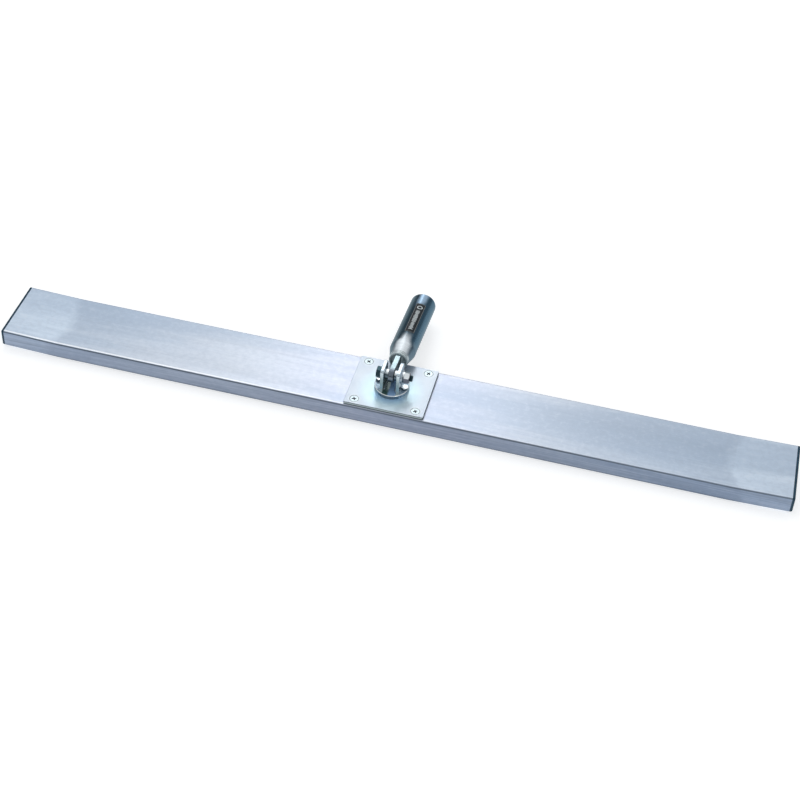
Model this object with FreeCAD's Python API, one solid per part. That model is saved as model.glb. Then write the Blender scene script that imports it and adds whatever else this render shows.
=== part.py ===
import FreeCAD, Part
import os
import math
from FreeCAD import Vector as V

# Long box-section magnesium float (check rod) with a tilting pole socket.
# Frame: origin at the middle of the working face, +X along the blade,
# +Y towards the rear (the side the pole socket leans to), +Z up.  Millimetres.

# ---- driving dimensions ---------------------------------------------------
L_ALL = 1220.0          # overall length, 48 in
BW = 110.0              # blade width
BH = 30.0               # blade height
WALL = 3.0              # extrusion wall
R_TOP = 3.0             # top outside corner radius
R_BOT = 4.5             # bottom outside corner radius
WEB_T = 2.6             # inside webs
WEB_Y = 17.0            # web position, both sides of the middle

UP_R, UP_DEG = 60.0, 1.9      # the tips turn up: bend radius and angle
UP_TAIL = 90.0          # straight length past the bend, end cap included
TOE_X, TOE_Z = 8.0, 4.0 # bevel under each tip

CAP_T = 4.0             # end-cap flange thickness
CAP_PLUG = 28.0         # end-cap plug depth
CAP_WALL = 2.4          # end-cap plug wall
CAP_GAP = 0.25          # plug clearance in the extrusion

PL_X, PL_Y, PL_T = 122.0, 104.0, 5.0     # mounting plate
SCR_X, SCR_Y = 47.0, 42.0                # plate screw positions
M6_R = 3.0
CSK_R = 6.6                              # countersunk head radius
CSK_H = 3.8
SCR_LEN = 20.0
INS_R = 4.6                              # rivet-nut body radius
INS_FL_R = 6.6

BX, BY = 0.8, -2.0                       # middle of the clevis on the plate
DISC_R, DISC_T = 26.5, 6.0               # clevis base disc
CS_X, CS_Y = 20.6, -4.0                  # clevis screws from its middle, on a diagonal
EAR_T = 5.25                             # ear thickness
EAR_IN = 9.75                            # ear inner face from the middle
EAR_W = 30.0                             # ear width
EAR_TOP, EAR_R = 16.0, 5.0               # ear top above the pivot, its corner radius
PIV_Y = -5.0                             # pivot axis
PIV_H = 28.5                             # pivot height above the plate
TILT = -8.6                              # rest tilt of the socket, degrees

BOLT_R = 5.0                             # M10 pivot bolt
HEAD_AF, HEAD_H = 16.0, 6.4
NUT_AF, NUT_H = 16.0, 8.0
LUG_T, LUG_W = 8.0, 23.0                 # lug bar
LUG_END = 62.0
TUBE_R, TUBE_W = 20.3, 3.0               # socket tube
NECK_0, NECK_1 = 38.0, 66.0              # swaged neck, distance from the pivot
NECK_R, NECK_W = 14.8, 2.5
SOCK_END = 203.0
LAB_0, LAB_1, LAB_HALF, LAB_T = 91.0, 173.5, 22.5, 0.25

# ---- derived levels --------------------------------------------------------
Z_TOP = BH
Z_PL = BH + PL_T
Z_DISC = Z_PL + DISC_T
PIV_Z = Z_PL + PIV_H
EAR_OUT = EAR_IN + EAR_T
X_BL = L_ALL / 2.0 - CAP_T               # blade end
UP_S, UP_C = math.sin(math.radians(UP_DEG)), math.cos(math.radians(UP_DEG))
UP_X = L_ALL / 2.0 - UP_R * UP_S - UP_TAIL * UP_C    # where the bend starts

os.makedirs("parts", exist_ok=True)


def save(shape, name):
    shape.exportStep("parts/%s.step" % name)


def box(x0, x1, y0, y1, z0, z1):
    return Part.makeBox(x1 - x0, y1 - y0, z1 - z0, V(x0, y0, z0))


def cyl(r, h, p, d):
    return Part.makeCylinder(r, h, V(*p), V(*d))


def section(w, z0, z1, rb, rt):
    # rounded rectangle in the YZ plane at X = 0, bottom radius rb, top radius rt
    k = math.sqrt(0.5)
    y = w / 2.0
    e = []

    def arc(cy, cz, r, a0):
        pts = []
        for a in (a0, a0 + 45, a0 + 90):
            pts.append(V(0, cy + r * math.cos(math.radians(a)), cz + r * math.sin(math.radians(a))))
        return Part.Arc(pts[0], pts[1], pts[2]).toShape()

    e.append(Part.makeLine(V(0, -y + rb, z0), V(0, y - rb, z0)))
    e.append(arc(y - rb, z0 + rb, rb, 270))
    e.append(Part.makeLine(V(0, y, z0 + rb), V(0, y, z1 - rt)))
    e.append(arc(y - rt, z1 - rt, rt, 0))
    e.append(Part.makeLine(V(0, y - rt, z1), V(0, -y + rt, z1)))
    e.append(arc(-y + rt, z1 - rt, rt, 90))
    e.append(Part.makeLine(V(0, -y, z1 - rt), V(0, -y, z0 + rb)))
    e.append(arc(-y + rb, z0 + rb, rb, 180))
    return Part.Face(Part.Wire(e))


def cell(y0, y1, z0, z1, r):
    # rounded cell in the YZ plane
    c = section(y1 - y0, z0, z1, r, r)
    c.translate(V(0, (y0 + y1) / 2.0, 0))
    return c


def ext(face, x0, x1):
    f = face.copy()
    f.translate(V(x0, 0, 0))
    return f.extrude(V(x1 - x0, 0, 0))


def hexagon(af, h, p, d, spin=0.0, ch=0.8):
    # hexagon prism along d with its corners chamfered at the far end
    r = af / math.sqrt(3.0)
    pts = [V(r * math.cos(math.radians(60 * i + spin)), r * math.sin(math.radians(60 * i + spin)), 0) for i in range(7)]
    s = Part.Face(Part.makePolygon(pts)).extrude(V(0, 0, h))
    c = Part.makeCylinder(r, h - ch).fuse(Part.makeCone(r, r - ch * 1.7, ch, V(0, 0, h - ch)))
    s = s.common(c)
    rot = FreeCAD.Rotation(V(0, 0, 1), V(*d))
    s.Placement = FreeCAD.Placement(V(*p), rot)
    return s


def clean(s):
    try:
        return s.removeSplitter()
    except Exception:
        return s


# ---- blade extrusion -------------------------------------------------------
cells = [(-BW / 2 + WALL, -WEB_Y - WEB_T / 2), (-WEB_Y + WEB_T / 2, WEB_Y - WEB_T / 2), (WEB_Y + WEB_T / 2, BW / 2 - WALL)]
prof = section(BW, 0, BH, R_BOT, R_TOP)
for y0, y1 in cells:
    prof = prof.cut(cell(y0, y1, WALL, BH - WALL, 1.2))
prof = prof.Faces[0]


def toe(s):
    # bevel under the tip
    x = L_ALL / 2.0
    w = Part.Face(Part.makePolygon([V(x - TOE_X - 2, -60, -2 * TOE_Z / TOE_X), V(x + 2, -60, TOE_Z + 2 * TOE_Z / TOE_X), V(x + 2, -60, -2), V(x - TOE_X - 2, -60, -2), V(x - TOE_X - 2, -60, -2 * TOE_Z / TOE_X)]))
    return s.cut(w.extrude(V(0, 120, 0)))


def turn_up(s):
    # carry a straight end piece on to the end of the bend
    c = s.copy()
    c.translate(V(UP_X - (L_ALL / 2.0 - UP_TAIL), 0, 0))
    c.rotate(V(UP_X, 0, UP_R), V(0, 1, 0), -UP_DEG)
    return c


bend = prof.copy()
bend.translate(V(UP_X, 0, 0))
bend = bend.revolve(V(UP_X, 0, UP_R), V(0, 1, 0), -UP_DEG)
tail = turn_up(toe(ext(prof, L_ALL / 2.0 - UP_TAIL, X_BL)))
blade = ext(prof, -UP_X, UP_X).fuse([bend, tail])
left = bend.fuse(tail)
left.rotate(V(0, 0, 0), V(0, 0, 1), 180)
blade = blade.fuse(left)
for sx in (-1, 1):
    for sy in (-1, 1):
        blade = blade.cut(cyl(INS_R, WALL + 2, (sx * SCR_X, sy * SCR_Y, BH - WALL - 1), (0, 0, 1)))
save(clean(blade), "blade")

# ---- end caps: flange plus three hollow plugs with crush ribs -----------------
def end_cap(side):
    c = ext(section(BW, 0, BH, R_BOT, R_TOP), X_BL, X_BL + CAP_T)
    edges = [e for e in c.Edges if all(abs(v.X - (X_BL + CAP_T)) < 1e-6 for v in e.Vertexes)]
    c = c.makeFillet(1.4, edges)
    for y0, y1 in cells:
        a0, a1 = y0 + CAP_GAP, y1 - CAP_GAP
        z0, z1 = WALL + CAP_GAP, BH - WALL - CAP_GAP
        plug = ext(cell(a0, a1, z0, z1, 1.2), X_BL - CAP_PLUG, X_BL + 0.5)
        plug = plug.cut(ext(cell(a0 + CAP_WALL, a1 - CAP_WALL, z0 + CAP_WALL, z1 - CAP_WALL, 0.6), X_BL - CAP_PLUG - 1, X_BL - 0.5))
        mid = (a0 + a1) / 2.0
        for k in (-1, 1):
            yk = mid + k * (a1 - a0) * 0.27
            plug = plug.fuse(box(X_BL - CAP_PLUG + 4, X_BL, yk - 0.6, yk + 0.6, z1 - 0.6, z1 + CAP_GAP - 0.02))
            plug = plug.fuse(box(X_BL - CAP_PLUG + 4, X_BL, yk - 0.6, yk + 0.6, z0 - CAP_GAP + 0.02, z0 + 0.6))
        # stiffening rib across the hollow of the plug
        plug = plug.fuse(box(X_BL - CAP_PLUG + 6, X_BL, mid - 0.9, mid + 0.9, z0 + 0.5, z1 - 0.5))
        c = c.fuse(plug)
    c = turn_up(toe(clean(c)))
    if side < 0:
        c.rotate(V(0, 0, 0), V(0, 0, 1), 180)
    return c


save(end_cap(1), "end_cap_right")
save(end_cap(-1), "end_cap_left")

# ---- mounting plate ----------------------------------------------------------
plate = box(-PL_X / 2, PL_X / 2, -PL_Y / 2, PL_Y / 2, Z_TOP, Z_PL)
vert = [e for e in plate.Edges if abs(e.Vertexes[0].X - e.Vertexes[1].X) < 1e-6 and abs(e.Vertexes[0].Y - e.Vertexes[1].Y) < 1e-6]
plate = plate.makeFillet(1.5, vert)
top = [e for e in plate.Edges if all(abs(v.Z - Z_PL) < 1e-6 for v in e.Vertexes)]
plate = plate.makeChamfer(0.4, top)
for sx in (-1, 1):
    for sy in (-1, 1):
        x, y = sx * SCR_X, sy * SCR_Y
        plate = plate.cut(cyl(M6_R + 0.25, PL_T + 2, (x, y, Z_TOP - 1), (0, 0, 1)))
        plate = plate.cut(Part.makeCone(M6_R + 0.25, CSK_R + 0.35, CSK_H, V(x, y, Z_PL - CSK_H + 0.001), V(0, 0, 1)))
for s in (-1, 1):
    plate = plate.cut(cyl(M6_R - 0.02, PL_T + 2, (BX + s * CS_X, BY + s * CS_Y, Z_TOP - 1), (0, 0, 1)))
save(clean(plate), "mounting_plate")

# ---- four countersunk cross-recess screws, one group ---------------------------
def csk_screw(x, y):
    z = Z_PL - 0.15
    s = Part.makeCone(M6_R, CSK_R, CSK_H - 0.25, V(x, y, z - CSK_H + 0.05), V(0, 0, 1))
    s = s.fuse(cyl(CSK_R, 0.2, (x, y, z - 0.2), (0, 0, 1)))
    s = s.fuse(cyl(M6_R, SCR_LEN, (x, y, z - SCR_LEN - 1), (0, 0, 1)).fuse(cyl(M6_R, 1.4, (x, y, z - 2.2), (0, 0, 1))))
    s = s.fuse(Part.makeCone(M6_R - 1, M6_R, 1, V(x, y, z - SCR_LEN - 2), V(0, 0, 1)))
    # cross recess: two tapering slots
    a = Part.Wire(Part.makePolygon([V(-3.5, -0.9, 0), V(3.5, -0.9, 0), V(3.5, 0.9, 0), V(-3.5, 0.9, 0), V(-3.5, -0.9, 0)]))
    b = Part.Wire(Part.makePolygon([V(-1.2, -0.4, -2.4), V(1.2, -0.4, -2.4), V(1.2, 0.4, -2.4), V(-1.2, 0.4, -2.4), V(-1.2, -0.4, -2.4)]))
    slot = Part.makeLoft([a, b], True)
    slot.translate(V(0, 0, 0.01))
    r = slot.fuse(cyl(1.35, 2.4, (0, 0, -2.39), (0, 0, 1)))
    o = slot.copy()
    o.rotate(V(0, 0, 0), V(0, 0, 1), 90)
    r = r.fuse(o)
    r.rotate(V(0, 0, 0), V(0, 0, 1), 20 + 7 * (x > 0) + 31 * (y > 0))
    r.translate(V(x, y, z))
    return clean(s.cut(r))


save(Part.makeCompound([csk_screw(sx * SCR_X, sy * SCR_Y) for sx in (-1, 1) for sy in (-1, 1)]), "plate_screws")

# ---- threaded rivet nuts set in the blade's top wall ---------------------------
def insert(x, y):
    s = cyl(INS_R - 0.03, 14.0, (x, y, Z_TOP - 14.0), (0, 0, 1))
    bulge = Part.makeCone(INS_R - 0.03, INS_FL_R, 2.0, V(x, y, Z_TOP - WALL - 4.0), V(0, 0, 1)).fuse(
        cyl(INS_FL_R, 1.95, (x, y, Z_TOP - WALL - 2.0), (0, 0, 1)))
    s = s.fuse(bulge).cut(cyl(M6_R + 0.01, 30, (x, y, Z_TOP - 20), (0, 0, 1)))
    return clean(s)


save(Part.makeCompound([insert(sx * SCR_X, sy * SCR_Y) for sx in (-1, 1) for sy in (-1, 1)]), "rivet_nuts")

# ---- clevis: base disc and two ears ---------------------------------------------
disc = cyl(DISC_R, DISC_T, (BX, BY, Z_PL), (0, 0, 1))
disc = disc.makeChamfer(0.9, [e for e in disc.Edges if len(e.Vertexes) == 1 and abs(e.Vertexes[0].Z - Z_DISC) < 1e-6])
for s in (-1, 1):
    disc = disc.cut(cyl(M6_R + 0.3, DISC_T + 2, (BX + s * CS_X, BY + s * CS_Y, Z_PL - 1), (0, 0, 1)))
save(disc, "clevis_disc")


def ear(x0, x1):
    r = EAR_W / 2.0
    s = box(x0, x1, PIV_Y - r, PIV_Y + r, Z_DISC, PIV_Z + EAR_TOP)
    top = [e for e in s.Edges if e.BoundBox.XLength > 1 and e.BoundBox.ZMin > PIV_Z + 1]
    s = s.makeFillet(EAR_R, top)
    s = s.cut(cyl(BOLT_R + 0.15, x1 - x0 + 2, (x0 - 1, PIV_Y, PIV_Z), (1, 0, 0)))
    es = []
    for e in s.Edges:
        b = e.BoundBox
        flat_x = b.XLength < 1e-6
        if flat_x and b.ZMax > Z_DISC + 1e-3 and not (b.ZLength < 2 * BOLT_R + 1 and b.YLength < 2 * BOLT_R + 1):
            es.append(e)
    try:
        s = s.makeFillet(0.8, es)
    except Exception:
        pass
    return s


save(ear(BX - EAR_OUT, BX - EAR_IN), "clevis_ear_left")
save(ear(BX + EAR_IN, BX + EAR_OUT), "clevis_ear_right")

# weld fillets inside the clevis, along the foot of each ear
def foot_weld(sx):
    f = 3.0
    x = BX + sx * EAR_IN
    p = Part.makePolygon([V(x, 0, Z_DISC), V(x - sx * f, 0, Z_DISC), V(x - sx * f * 0.45, 0, Z_DISC + f * 0.45), V(x, 0, Z_DISC + f), V(x, 0, Z_DISC)])
    w = Part.Face(p)
    w.translate(V(0, PIV_Y - EAR_W / 2.0 + 1.0, 0))
    return w.extrude(V(0, EAR_W - 2.0, 0))


save(Part.makeCompound([foot_weld(-1), foot_weld(1)]), "ear_welds")

# two hexagon screws that hold the disc down on the plate
def clevis_screw(s):
    x, y = BX + s * CS_X, BY + s * CS_Y
    h = hexagon(10.0, 4.2, (x, y, Z_DISC), (0, 0, 1), 30, 0.7)
    h = h.fuse(cyl(M6_R - 0.03, DISC_T + PL_T - 0.5, (x, y, Z_TOP + 0.5), (0, 0, 1)))
    return clean(h)


save(Part.makeCompound([clevis_screw(-1), clevis_screw(1)]), "clevis_screws")

# ---- pivot hardware ----------------------------------------------------------------
def washer(ri, ro, x0, t, ch=0.3):
    x0 = x0 + BX
    w = cyl(ro, t, (x0, PIV_Y, PIV_Z), (1, 0, 0))
    w = w.makeChamfer(ch, [e for e in w.Edges if e.BoundBox.XLength < 1e-6])
    return w.cut(cyl(ri, t + 2, (x0 - 1, PIV_Y, PIV_Z), (1, 0, 0)))


HW_T = 2.0
save(washer(BOLT_R + 0.2, 10.0, -EAR_OUT - HW_T, HW_T), "head_washer")
save(washer(BOLT_R + 0.2, 10.0, EAR_OUT, HW_T), "nut_washer")

# split spring washer under the nut
LW_T = 2.4
lw = washer(BOLT_R + 0.2, 8.6, EAR_OUT + HW_T, LW_T, 0.2)
cutbar = box(-0.8, LW_T + 0.8, -0.8, 0.8, 0, 14)
cutbar.rotate(V(0, 0, 0), V(0, 1, 0), 14)
cutbar.rotate(V(0, 0, 0), V(1, 0, 0), -35)
cutbar.translate(V(BX + EAR_OUT + HW_T, PIV_Y, PIV_Z))
save(clean(lw.cut(cutbar)), "spring_washer")

X_NUT = BX + EAR_OUT + HW_T + LW_T
nut = hexagon(NUT_AF, NUT_H, (X_NUT, PIV_Y, PIV_Z), (1, 0, 0), 0.0, 0.9)
nut = nut.cut(cyl(BOLT_R + 0.01, NUT_H + 2, (X_NUT - 1, PIV_Y, PIV_Z), (1, 0, 0)))
save(clean(nut), "pivot_nut")

bx0 = BX - EAR_OUT - HW_T
BOLT_END = X_NUT + NUT_H + 4.5
bolt = hexagon(HEAD_AF, HEAD_H, (bx0, PIV_Y, PIV_Z), (-1, 0, 0), 0.0, 0.9)
shank = cyl(BOLT_R, BOLT_END - bx0 - 1.0, (bx0, PIV_Y, PIV_Z), (1, 0, 0))
tip = Part.makeCone(BOLT_R, BOLT_R - 1.0, 1.0, V(BOLT_END - 1.0, PIV_Y, PIV_Z), V(1, 0, 0))
bolt = bolt.fuse(shank).fuse(tip)
save(clean(bolt), "pivot_bolt")

# sleeves on the bolt that keep the lug in the middle of the clevis
SP_T = EAR_IN - LUG_T / 2.0 - 0.3
sp_l = washer(BOLT_R + 0.1, 8.0, -EAR_IN, SP_T, 0.4)
sp_r = washer(BOLT_R + 0.1, 8.0, EAR_IN - SP_T, SP_T, 0.4)
save(sp_l, "spacer_left")
save(sp_r, "spacer_right")

# ---- tilting group, modelled along +Y from the pivot and then tilted ----------------
def place(s):
    s.rotate(V(0, 0, 0), V(1, 0, 0), TILT)
    s.translate(V(BX, PIV_Y, PIV_Z))
    return s


BUSH_R = 6.5
hw = LUG_W / 2.0
lug = box(-LUG_T / 2, LUG_T / 2, 0, LUG_END, -hw, hw).fuse(cyl(hw, LUG_T, (-LUG_T / 2, 0, 0), (1, 0, 0)))
lug = clean(lug)
ed = [e for e in lug.Edges if e.BoundBox.XLength < 1e-6 and e.BoundBox.YMin < LUG_END - 1 and not (e.BoundBox.YLength < 1e-6)]
try:
    lug = lug.makeFillet(0.6, ed)
except Exception:
    pass
lug = lug.cut(cyl(BUSH_R, LUG_T + 2, (-LUG_T / 2 - 1, 0, 0), (1, 0, 0)))
save(place(lug), "pivot_lug")

bush = cyl(BUSH_R, LUG_T, (-LUG_T / 2, 0, 0), (1, 0, 0)).cut(cyl(BOLT_R + 0.06, LUG_T + 2, (-LUG_T / 2 - 1, 0, 0), (1, 0, 0)))
save(place(bush), "pivot_bush")

# socket tube with its swaged neck, one revolved piece about the Y axis
ro, ri = TUBE_R, TUBE_R - TUBE_W
no, ni = NECK_R, NECK_R - NECK_W
fr = 1.3
k = math.sqrt(0.5)


def P(y, r):
    return V(r, y, 0)


ed = []


def ln(a, b):
    ed.append(Part.makeLine(P(*a), P(*b)))


def ar(a, m, b):
    ed.append(Part.Arc(P(*a), P(*m), P(*b)).toShape())


NSTR = 5.0                                   # short straight at the neck's mouth
ln((NECK_0, ni), (NECK_0, no - 1.0))
ar((NECK_0, no - 1.0), (NECK_0 + 1.0 - k, no - 1.0 + k), (NECK_0 + 1.0, no))
ln((NECK_0 + 1.0, no), (NECK_0 + NSTR, no))
ln((NECK_0 + NSTR, no), (NECK_1 - 4.0, ro - 0.9))
ar((NECK_1 - 4.0, ro - 0.9), (NECK_1 - 1.2, ro - 0.22), (NECK_1 + 2.5, ro))
ln((NECK_1 + 2.5, ro), (SOCK_END - fr, ro))
ar((SOCK_END - fr, ro), (SOCK_END - fr + fr * k, ro - fr + fr * k), (SOCK_END, ro - fr))
ln((SOCK_END, ro - fr), (SOCK_END, ri + 0.5))
ln((SOCK_END, ri + 0.5), (SOCK_END - 0.5, ri))
ln((SOCK_END - 0.5, ri), (NECK_1 + 2.5, ri))
ln((NECK_1 + 2.5, ri), (NECK_0 + NSTR, ni))
ln((NECK_0 + NSTR, ni), (NECK_0, ni))
prof = Part.Face(Part.Wire(ed))
sock = prof.revolve(V(0, 0, 0), V(0, 1, 0), 360)
save(place(sock), "handle_socket")

# weld filling the mouth of the neck on both sides of the lug
weld = cyl(ni, 4.5, (0, NECK_0, 0), (0, 1, 0))
bead = Part.makeTorus(ni - 0.4, 1.5, V(0, NECK_0 - 0.1, 0), V(0, 1, 0))
weld = weld.fuse(bead.common(cyl(no - 0.6, 3, (0, NECK_0 - 3, 0), (0, 1, 0))))
weld = weld.cut(box(-LUG_T / 2, LUG_T / 2, 0, LUG_END, -30, 30))
weld = clean(weld)
save(place(Part.makeCompound(weld.Solids)), "neck_weld")

# generic label stuck on top of the tube
def sector(r0, r1, y0, y1, half, mid):
    p = Part.Face(Part.makePolygon([V(r0, y0, 0), V(r1, y0, 0), V(r1, y1, 0), V(r0, y1, 0), V(r0, y0, 0)]))
    p.rotate(V(0, 0, 0), V(0, 1, 0), -(mid - half))
    return p.revolve(V(0, 0, 0), V(0, 1, 0), -2 * half)


label = sector(TUBE_R + 0.001, TUBE_R + LAB_T, LAB_0, LAB_1, LAB_HALF, 83.0)
save(place(label), "socket_label")
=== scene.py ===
import bpy
import bmesh
import math
from mathutils import Vector, Matrix, noise


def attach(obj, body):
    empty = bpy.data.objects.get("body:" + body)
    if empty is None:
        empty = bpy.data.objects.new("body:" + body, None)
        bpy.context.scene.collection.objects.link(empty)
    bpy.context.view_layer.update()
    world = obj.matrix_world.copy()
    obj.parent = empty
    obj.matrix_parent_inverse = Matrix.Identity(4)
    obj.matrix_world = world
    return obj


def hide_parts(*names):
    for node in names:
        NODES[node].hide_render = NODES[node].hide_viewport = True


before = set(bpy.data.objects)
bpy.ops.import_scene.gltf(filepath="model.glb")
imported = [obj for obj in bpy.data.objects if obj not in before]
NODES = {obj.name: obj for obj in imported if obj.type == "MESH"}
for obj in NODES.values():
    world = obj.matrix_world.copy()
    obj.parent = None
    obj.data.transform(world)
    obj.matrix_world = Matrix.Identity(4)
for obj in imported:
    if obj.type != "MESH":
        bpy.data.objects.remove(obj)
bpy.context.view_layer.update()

scene = bpy.context.scene

# ---------------------------------------------------------------- geometry facts (metres)
TILT = math.radians(-8.6)
PIV = Vector((0.0008, -0.005, 0.0635))
H = Vector((0.0, math.cos(TILT), math.sin(TILT)))       # along the socket
U = Vector((1.0, 0.0, 0.0))
N = U.cross(H)                                          # upward normal of the socket


def arm(x, d, z):
    """A point given in the tilting group's own frame: across, along the socket, above it."""
    return PIV + U * x + H * d + N * z


# ---------------------------------------------------------------- node helpers
class G:
    """Small wrapper for building a material's nodes."""

    def __init__(self, name):
        self.m = bpy.data.materials.new(name)
        self.m.use_nodes = True
        self.t = self.m.node_tree
        self.t.nodes.clear()
        self.out = self.t.nodes.new("ShaderNodeOutputMaterial")
        self.b = self.t.nodes.new("ShaderNodeBsdfPrincipled")
        self.t.links.new(self.b.outputs[0], self.out.inputs[0])
        self.co = self.t.nodes.new("ShaderNodeTexCoord").outputs["Object"]

    def n(self, kind, **kw):
        x = self.t.nodes.new(kind)
        for k, v in kw.items():
            setattr(x, k, v)
        return x

    def link(self, a, b):
        self.t.links.new(a, b)

    def map(self, scale=(1, 1, 1), rot=(0, 0, 0), loc=(0, 0, 0), src=None):
        x = self.n("ShaderNodeMapping")
        x.inputs["Scale"].default_value = scale
        x.inputs["Rotation"].default_value = rot
        x.inputs["Location"].default_value = loc
        self.link(src or self.co, x.inputs["Vector"])
        return x.outputs[0]

    def noise(self, vec, scale, detail=4.0, rough=0.55, dist=0.0):
        x = self.n("ShaderNodeTexNoise")
        x.inputs["Scale"].default_value = scale
        x.inputs["Detail"].default_value = detail
        x.inputs["Roughness"].default_value = rough
        x.inputs["Distortion"].default_value = dist
        self.link(vec, x.inputs["Vector"])
        return x.outputs["Fac"]

    def voro(self, vec, scale, feature="F1", out="Distance"):
        x = self.n("ShaderNodeTexVoronoi", feature=feature)
        x.inputs["Scale"].default_value = scale
        self.link(vec, x.inputs["Vector"])
        return x.outputs[out]

    def ramp(self, fac, stops, interp="LINEAR"):
        x = self.n("ShaderNodeValToRGB")
        x.color_ramp.interpolation = interp
        e = x.color_ramp.elements
        while len(e) < len(stops):
            e.new(0.5)
        for i, (p, c) in enumerate(stops):
            e[i].position = p
            e[i].color = (c[0], c[1], c[2], 1.0) if hasattr(c, "__len__") else (c, c, c, 1.0)
        self.link(fac, x.inputs[0])
        return x.outputs[0]

    def rng(self, fac, a, b, c, d, smooth=False):
        x = self.n("ShaderNodeMapRange")
        if smooth:
            x.interpolation_type = "SMOOTHSTEP"
        for i, v in enumerate((a, b, c, d)):
            x.inputs[i + 1].default_value = v
        self.link(fac, x.inputs[0])
        return x.outputs[0]

    def math(self, op, a, b=None, c=None):
        x = self.n("ShaderNodeMath", operation=op)
        for i, v in enumerate((a, b, c)):
            if v is None:
                continue
            if isinstance(v, (int, float)):
                x.inputs[i].default_value = v
            else:
                self.link(v, x.inputs[i])
        return x.outputs[0]

    def mix(self, fac, a, b, kind="MIX"):
        x = self.n("ShaderNodeMix", data_type="RGBA", blend_type=kind)
        for s, v in ((x.inputs[0], fac), (x.inputs[6], a), (x.inputs[7], b)):
            if isinstance(v, (int, float)):
                s.default_value = v
            elif isinstance(v, tuple):
                s.default_value = (v[0], v[1], v[2], 1.0)
            else:
                self.link(v, s)
        return x.outputs[2]

    def sep(self, vec=None):
        x = self.n("ShaderNodeSeparateXYZ")
        self.link(vec or self.co, x.inputs[0])
        return x.outputs

    def bump(self, height, strength, dist=0.0005, normal=None):
        x = self.n("ShaderNodeBump")
        x.inputs["Strength"].default_value = strength
        x.inputs["Distance"].default_value = dist
        self.link(height, x.inputs["Height"])
        if normal is not None:
            self.link(normal, x.inputs["Normal"])
        return x.outputs[0]

    def set(self, **kw):
        for k, v in kw.items():
            s = self.b.inputs[k.replace("_", " ")]
            if isinstance(v, (int, float)):
                s.default_value = v
            elif isinstance(v, tuple):
                s.default_value = (v[0], v[1], v[2], 1.0)
            else:
                self.link(v, s)
        return self.m


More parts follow.
